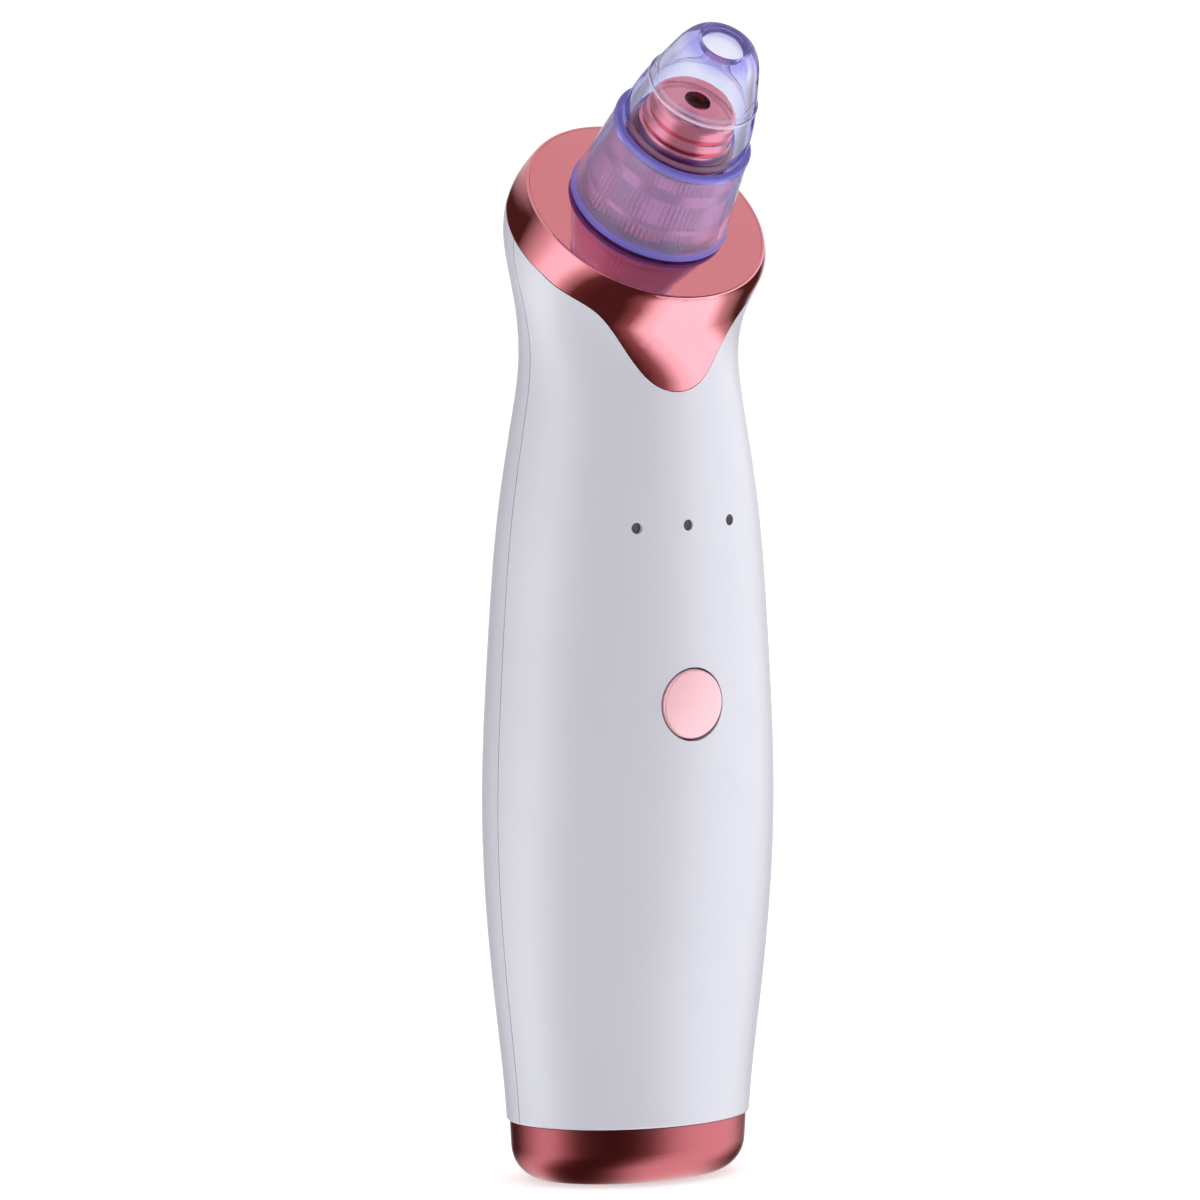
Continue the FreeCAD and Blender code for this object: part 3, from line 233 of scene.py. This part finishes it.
def rose_button():
    """Paler, satin lacquered plating of the button cap."""
    s = Shader("rose_button")
    s.set(Metallic=0.4)
    s.colour(s.noise(scale=120, detail=3), *BUTTON_TONES)
    s.roughness(s.noise(scale=500, detail=4), low=0.34, high=0.42)
    s.bump(s.noise(scale=2500, detail=2), depth=1 * MICRON)
    return s.material


def nozzle_plating():
    """The same plating on the nozzle, with painted shade that leaves it dark down in the suction port."""
    s = Shader("nozzle_plating")
    s.set(Metallic=1.0)
    # Painted shade: dark plating inside the port's radius.
    s.colour(s.outside_port_shade(), PORT_PAINTED_SHADE, NOZZLE_BRIGHT, start=0.0, end=1.0)
    s.roughness(s.noise(scale=220, detail=5), low=0.05, high=0.1)
    s.bump(s.noise(scale=1400, detail=2), depth=0.8 * MICRON)
    return s.material


def violet_skirt():
    """Violet-tinted hazy plastic, with painted light at its rims, which are made deeper violet and cloudier."""
    s = Shader("violet_skirt")
    s.set(IOR=PROBE_IOR)
    height = s.along_head(SKIRT_FOOT, SKIRT_TOP)
    # Painted light on the rims: a deeper violet and a smaller clear share than on the wall.
    for name, painted_rim_light, wall in (("Base Color", PAINTED_RIM_LIGHT_VIOLET, PALE_VIOLET), ("Transmission Weight", PAINTED_RIM_LIGHT_CLEAR, SKIRT_CLEAR)):
        s.stepped(name, height, (0.0, painted_rim_light), (FOOT_RIM_END, painted_rim_light), (WALL_START, wall), (WALL_END, wall),
                  (TOP_RIM_START, painted_rim_light))
    s.roughness(s.noise(scale=600, detail=4), low=0.0, high=0.024)
    s.bump(s.noise(scale=700, detail=2), depth=0.3 * MICRON)
    s.absorb((0.65, 0.60, 0.98), density=40)
    return s.material


def clear_probe():
    """Clear moulded plastic, violet-blue at its lip and where it is seen edge-on, with a frosted ring on its bead
    that is a painted highlight.
    """
    s = Shader("clear_probe")
    s.set(IOR=PROBE_IOR)
    height = s.along_head(SKIRT_TOP, TIP_LIP)
    facing = s.node("ShaderNodeLayerWeight").outputs["Facing"]
    edge_on = s.ramp(facing, [(EDGE_TINT_START, TIP_CENTRE), (EDGE_TINT_END, TIP_EDGE)])
    lip = s.ramp(height, [(LIP_TINT_START, PLAIN), (LIP_TINT_END, LIP_VIOLET)])
    s.link(s.multiply(edge_on, lip), s.principled.inputs["Base Color"])
    # The frosted ring on the bead paints its highlight, a white line where the bead catches light.
    highlight_ring = (SKIRT_TOP - BEAD) / (SKIRT_TOP - TIP_LIP)
    s.stepped("Transmission Weight", height,
              (highlight_ring - HIGHLIGHT_RING_HALF_FADED, CLEAR), (highlight_ring - HIGHLIGHT_RING_HALF, FROSTED_HIGHLIGHT),
              (highlight_ring + HIGHLIGHT_RING_HALF, FROSTED_HIGHLIGHT), (highlight_ring + HIGHLIGHT_RING_HALF_FADED, CLEAR),
              (LIP_CLOUD_START, CLEAR), (LIP_CLOUD_END, LIP_CLEAR))
    s.roughness(s.noise(scale=300, detail=4), low=0.0, high=0.022)
    s.bump(s.noise(scale=500, detail=2), depth=0.5 * MICRON)
    s.absorb((0.55, 0.55, 0.98), density=70)
    return s.material


def shade_painted_lens():
    """Light guide pins behind the three lamp holes, painted near black as the shade in the holes while the lamps are
    off.
    """
    s = Shader("shade_painted_lens")
    s.set(IOR=1.5)
    # A near black tone: painted shade of the recessed lamp holes.
    s.colour(s.noise(scale=1500, detail=3), *LENS_SHADE_TONES)
    s.roughness(s.noise(scale=900, detail=3), low=0.12, high=0.3)
    return s.material


# ---------------------------------------------------------------- inside materials

def moulded(name, low, high, rough=(0.45, 0.62), grain=900, depth=12 * MICRON):
    """Moulded plastic with a fine spark-eroded grain."""
    s = Shader(name)
    s.colour(s.noise(scale=80, detail=4), low, high)
    s.roughness(s.noise(scale=260, detail=4), *rough)
    s.bump(s.noise(scale=grain, detail=3), depth)
    return s.material


def metal(name, low, high):
    """Drawn or stamped metal with die lines along its height."""
    s = Shader(name)
    s.set(Metallic=1.0)
    lines = s.noise(scale=140, detail=5, roughness=0.65, vector=s.stretched((6.0, 6.0, 0.5)))
    s.colour(lines, low, high)
    s.roughness(lines, low=0.2, high=0.38)
    s.bump(lines, depth=4 * MICRON)
    return s.material


def rubbery(name, low, high):
    """Silicone or rubber with a dusty, soft sheen."""
    s = Shader(name)
    s.set(Sheen_Weight=0.25, Sheen_Roughness=0.5)
    s.colour(s.noise(scale=120, detail=4), low, high)
    s.roughness(s.noise(scale=400, detail=4), low=0.5, high=0.72)
    s.bump(s.noise(scale=1500, detail=3), depth=10 * MICRON)
    return s.material


def foam():
    """Open-cell foam: pores from two sizes of cells."""
    s = Shader("foam")
    s.set(Sheen_Weight=0.3)
    s.colour(s.cells(scale=1400), (0.72, 0.72, 0.68), (0.93, 0.93, 0.90), start=0.1, end=0.6)
    s.roughness(s.noise(scale=500, detail=3), low=0.8, high=0.95)
    s.bump(s.cells(scale=1100), depth=250 * MICRON)
    return s.material


def solder_mask():
    """Green board with the faint relief of its copper tracks."""
    s = Shader("solder_mask")
    s.set(Coat_Weight=0.4, Coat_Roughness=0.2)
    tracks = s.wave(scale=260, direction="X", distortion=6.0)
    s.colour(tracks, (0.012, 0.16, 0.07), (0.02, 0.24, 0.11), start=0.45, end=0.55)
    s.roughness(s.noise(scale=400, detail=3), low=0.3, high=0.45)
    s.bump(tracks, depth=20 * MICRON)
    return s.material


def shrink_sleeve():
    """Blue heat-shrunk sleeve of the cell, slightly rippled."""
    s = Shader("shrink_sleeve")
    s.set(Coat_Weight=0.5, Coat_Roughness=0.15)
    s.colour(s.noise(scale=50, detail=3), (0.03, 0.13, 0.30), (0.045, 0.17, 0.36))
    s.roughness(s.noise(scale=200, detail=3), low=0.25, high=0.4)
    s.bump(s.noise(scale=180, detail=2), depth=40 * MICRON)
    return s.material


def wound_copper():
    """Enamelled wire, seen as fine turns."""
    s = Shader("wound_copper")
    s.set(Metallic=0.9)
    turns = s.wave(scale=1500, direction="Z", distortion=1.0)
    s.colour(turns, (0.30, 0.09, 0.04), (0.62, 0.24, 0.12))
    s.roughness(s.noise(scale=300, detail=3), low=0.3, high=0.45)
    s.bump(turns, depth=60 * MICRON)
    return s.material


def give(material, *names):
    """Puts a material in every slot of the named CAD nodes."""
    for name in names:
        mesh = nodes[name].data
        for i in range(len(mesh.materials)):
            mesh.materials[i] = material


def dress_outside():
    give(gloss_white(), "front_shell", "rear_shell")
    give(rose_plating("rose_plating", COLLAR_TONES), "head_collar")
    give(rose_plating("rose_deck_plating", DECK_TONES), "head_deck")
    give(nozzle_plating(), "nozzle_seat")
    give(rose_satin(), "base_cap")
    give(rose_button(), "power_button")
    give(violet_skirt(), "probe_skirt")
    give(clear_probe(), "probe_tip")
    give(shade_painted_lens(), "light_guide")


def dress_inside():
    give(foam(), "filter_sponge", "cell_pad")
    give(solder_mask(), "circuit_board", "usb_board")
    give(shrink_sleeve(), "battery_cell")
    give(wound_copper(), "motor_windings")
    give(moulded("black_nylon", (0.018, 0.018, 0.02), (0.035, 0.035, 0.038)),
         "seat_nut", "hose_fitting", "tact_switch", "switch_plunger", "board_chips", "motor_end_cap", "usb_tongue")
    give(moulded("ivory_acetal", (0.70, 0.67, 0.60), (0.78, 0.76, 0.69), rough=(0.32, 0.45)),
         "pump_base", "crank_wheel", "drive_plate", "valve_plate", "pump_cover")
    give(moulded("ferrite", (0.06, 0.055, 0.05), (0.12, 0.11, 0.10), (0.6, 0.85), grain=700, depth=40 * MICRON),
         "power_coil", "motor_magnets", "board_passives")
    give(moulded("phosphor", (0.85, 0.78, 0.38), (0.93, 0.88, 0.52)), "lamp_chips")
    give(moulded("wire_jacket", (0.42, 0.02, 0.018), (0.55, 0.04, 0.03)),
         "motor_leads", "battery_leads", "charging_leads")
    give(metal("nickel_steel", (0.52, 0.52, 0.53), (0.66, 0.66, 0.67)),
         "switch_cover", "board_screws", "chip_legs", "battery_terminals", "motor_can", "motor_shaft",
         "crank_pin", "pump_screws", "usb_socket", "usb_screws", "motor_armature")
    give(metal("stamped_brass", (0.60, 0.42, 0.16), (0.74, 0.55, 0.26)),
         "motor_terminals", "motor_brushes", "motor_bushes")
    give(metal("bare_copper", (0.55, 0.22, 0.10), (0.70, 0.31, 0.16)), "motor_commutator")
    give(rubbery("silicone", (0.62, 0.62, 0.64), (0.72, 0.72, 0.74)),
         "cup_stems", "diaphragm", "valve_flap", "motor_sleeve")
    give(rubbery("rose_silicone", (0.55, 0.22, 0.27), (0.62, 0.26, 0.32)), "spigot_ring")
    give(rubbery("clear_hose", (0.70, 0.71, 0.72), (0.80, 0.81, 0.82)), "suction_hose")


# ---------------------------------------------------------------- camera

CAMERA_AZIMUTH = math.radians(-34.5)
CAMERA_ELEVATION = math.radians(8.0)
CAMERA_DISTANCE = 4.0
CAMERA_LENS = 840.0
CAMERA_SENSOR = 36.0
CAMERA_CLIP = (0.1, 60.0)
AIM_HEIGHT = 0.084
AIM_RIGHT = -0.0040
AIM_UP = -0.0011


def camera_back():
    """Unit vector from the object to the camera."""
    return Vector((
        math.sin(CAMERA_AZIMUTH) * math.cos(CAMERA_ELEVATION),
        -math.cos(CAMERA_AZIMUTH) * math.cos(CAMERA_ELEVATION),
        math.sin(CAMERA_ELEVATION),
    ))


def place(name, data, location, back):
    """Adds a camera or a light at a location, looking away from the back direction."""
    made = bpy.data.objects.new(name, data)
    made.location = location
    made.rotation_mode = "QUATERNION"
    made.rotation_quaternion = back.to_track_quat("Z", "Y")
    bpy.context.scene.collection.objects.link(made)
    return made


def make_camera():
    back = camera_back()
    right = Vector((math.cos(CAMERA_AZIMUTH), math.sin(CAMERA_AZIMUTH), 0))
    up = back.cross(right)
    aim = Vector((0, 0, AIM_HEIGHT)) + right * AIM_RIGHT + up * AIM_UP
    data = bpy.data.cameras.new("camera")
    data.lens = CAMERA_LENS
    data.sensor_width = CAMERA_SENSOR
    data.clip_start, data.clip_end = CAMERA_CLIP
    bpy.context.scene.camera = place("camera", data, aim + back * CAMERA_DISTANCE, back)


# ---------------------------------------------------------------- studio

BACKDROP = 1.0
FLOOR_SIZE = 24.0
FLOOR_GAP = 0.0001
FLOOR_GLOW = 0.55

# Soft lights: name, place, the point that it faces, size, watts
SOFTBOXES = [
    ("top_softbox", (0.25, -0.45, 0.9), (0, 0, 0.05), (0.7, 0.7), 1.2),
    ("side_softbox", (0.55, -0.75, 0.35), (0, 0, 0.09), (0.5, 0.6), 2.0),
    ("fill_softbox", (-0.68, 0.66, 0.35), (0, 0, 0.09), (0.5, 0.6), 1.7),
]

# The clear probe needs more than the usual number of mirrored and refracted steps, or its rims go black
MAX_BOUNCES = 20
GLOSSY_BOUNCES = 14
TRANSMISSION_BOUNCES = 20

# Brightness of the studio's panels against the azimuth, in degrees, of the surfaces that mirror them to the
# camera; 0 faces the front and + turns toward +X
PANELS = [
    (-180, 0.07), (-94, 0.07), (-77, 0.8), (-68, 1.25), (-57, 1.25), (-50, 0.65), (-42, 0.12), (-32, 0.07),
    (-15, 0.07), (-8, 0.3), (-1, 1.15), (6, 1.5), (28, 1.5), (37, 0.6), (48, 0.07), (180, 0.07),
]
# How far the panels lean round the object with the height of the surface's normal, down to a limit
PANEL_LEAN = -0.7
PANEL_LEAN_LIMIT = 0.45
DARK_TINT = (1.0, 0.34, 0.28)
# The ceiling fades in over this range of the mirroring normal's height
OVERHEAD = (0.70, 0.66, 0.66)
OVERHEAD_FADE = (0.45, 0.7)
# The wall behind the object fades out over this range of the half vector's length, 0 straight behind
BEHIND = (0.95, 0.95, 1.0)
BEHIND_FADE = (0.15, 0.42)
# How much of the plain backdrop a reflection shows when it is seen through clear plastic
MIRRORED_SHARE = 0.42


class World(Shader):
    """The same short calls for the world's shader tree."""

    def __init__(self, name):
        self.world = bpy.data.worlds.new(name)
        self.world.use_nodes = True
        self.tree = self.world.node_tree
        self.tree.nodes.clear()
        self.place = self.node("ShaderNodeTexCoord").outputs["Generated"]

    def math(self, operation, *inputs):
        return self.node("ShaderNodeMath", dict(enumerate(inputs)), operation=operation).outputs[0]

    def blend(self, below, above, fac, low, high):
        """Fades from one colour to another while fac goes from low to high."""
        fade = self.node("ShaderNodeMapRange", {"Value": fac, "From Min": low, "From Max": high},
                         interpolation_type="SMOOTHSTEP")
        sides = {side: (*colour, 1.0) if isinstance(colour, tuple) else colour
                 for side, colour in (("A", below), ("B", above))}
        return self.node("ShaderNodeMix", {"Factor": fade.outputs["Result"], **sides},
                         data_type="RGBA").outputs["Result"]


def panel_stops():
    """The panels as stops of a ramp over the whole turn. Dim ones take on a red tint."""
    stops = []
    for degrees, level in PANELS:
        share = min(1.0, level)
        stops.append(((degrees + 180) / 360, [level * (share + (1 - share) * tint) for tint in DARK_TINT]))
    return stops


def make_world():
    """Soft studio: two light panels with dark gaps between them, a grey ceiling and a light wall behind."""
    w = World("studio")
    bpy.context.scene.world = w.world
    halfway = w.vector("ADD", w.place, camera_back())
    length = w.vector("LENGTH", halfway, output="Value")
    normal = w.node("ShaderNodeSeparateXYZ", {0: w.vector("NORMALIZE", halfway)}).outputs
    azimuth = w.math("ARCTAN2", normal["X"], w.math("MULTIPLY", normal["Y"], -1.0))
    height = w.math("MAXIMUM", normal["Z"], -PANEL_LEAN_LIMIT)
    leaning = w.math("MULTIPLY_ADD", height, PANEL_LEAN, azimuth)
    panels = w.ramp(w.between(leaning, 0.0, 1.0, -math.pi, math.pi), panel_stops())
    walls = w.blend(BEHIND, panels, length, *BEHIND_FADE)
    studio = w.blend(walls, OVERHEAD, normal["Z"], *OVERHEAD_FADE)
    light = w.node("ShaderNodeBackground", {"Color": studio})
    seen = w.node("ShaderNodeBackground", {"Color": (BACKDROP, BACKDROP, BACKDROP, 1.0)})
    # The camera sees the plain backdrop, straight or through the clear probe; the rest is lit by the studio
    path = w.node("ShaderNodeLightPath").outputs
    unmirrored = w.math("LESS_THAN", path["Glossy Depth"], 0.5)
    share = w.math("MULTIPLY_ADD", unmirrored, 1.0 - MIRRORED_SHARE, MIRRORED_SHARE)
    through = w.math("MULTIPLY", share, path["Is Transmission Ray"])
    straight = w.math("MAXIMUM", path["Is Camera Ray"], through)
    chosen = w.node("ShaderNodeMixShader", {0: straight, 1: light.outputs[0], 2: seen.outputs[0]})
    w.node("ShaderNodeOutputWorld", {"Surface": chosen.outputs[0]})


def make_floor():
    mesh = bpy.data.meshes.new("floor")
    half = FLOOR_SIZE / 2
    corners = [(-half, -half, 0), (half, -half, 0), (half, half, 0), (-half, half, 0)]
    mesh.from_pydata(corners, [], [(0, 1, 2, 3)])
    floor = bpy.data.objects.new("floor", mesh)
    floor.location.z = -FLOOR_GAP
    bpy.context.scene.collection.objects.link(floor)
    s = Shader("pale_floor")
    s.set(Roughness=0.9, Emission_Color=(1.0, 1.0, 1.0, 1.0), Emission_Strength=FLOOR_GLOW)
    s.colour(s.noise(scale=3, detail=2), (0.85, 0.85, 0.85), (0.87, 0.87, 0.87))
    mesh.materials.append(s.material)
    floor.visible_glossy = False
    floor.visible_transmission = False


def make_softboxes():
    """Soft lights that shine on the object but aren't mirrored in it or seen through it."""
    for name, location, aim, size, watts in SOFTBOXES:
        data = bpy.data.lights.new(name, "AREA")
        data.shape = "RECTANGLE"
        data.size, data.size_y = size
        data.energy = watts
        light = place(name, data, location, Vector(location) - Vector(aim))
        light.visible_glossy = False
        light.visible_transmission = False


def make_studio():
    bpy.context.scene.view_settings.view_transform = "Standard"
    paths = bpy.context.scene.cycles
    paths.max_bounces = MAX_BOUNCES
    paths.glossy_bounces = GLOSSY_BOUNCES
    paths.transmission_bounces = TRANSMISSION_BOUNCES
    make_world()
    make_floor()
    make_softboxes()


dress_outside()
dress_inside()
make_studio()
make_camera()
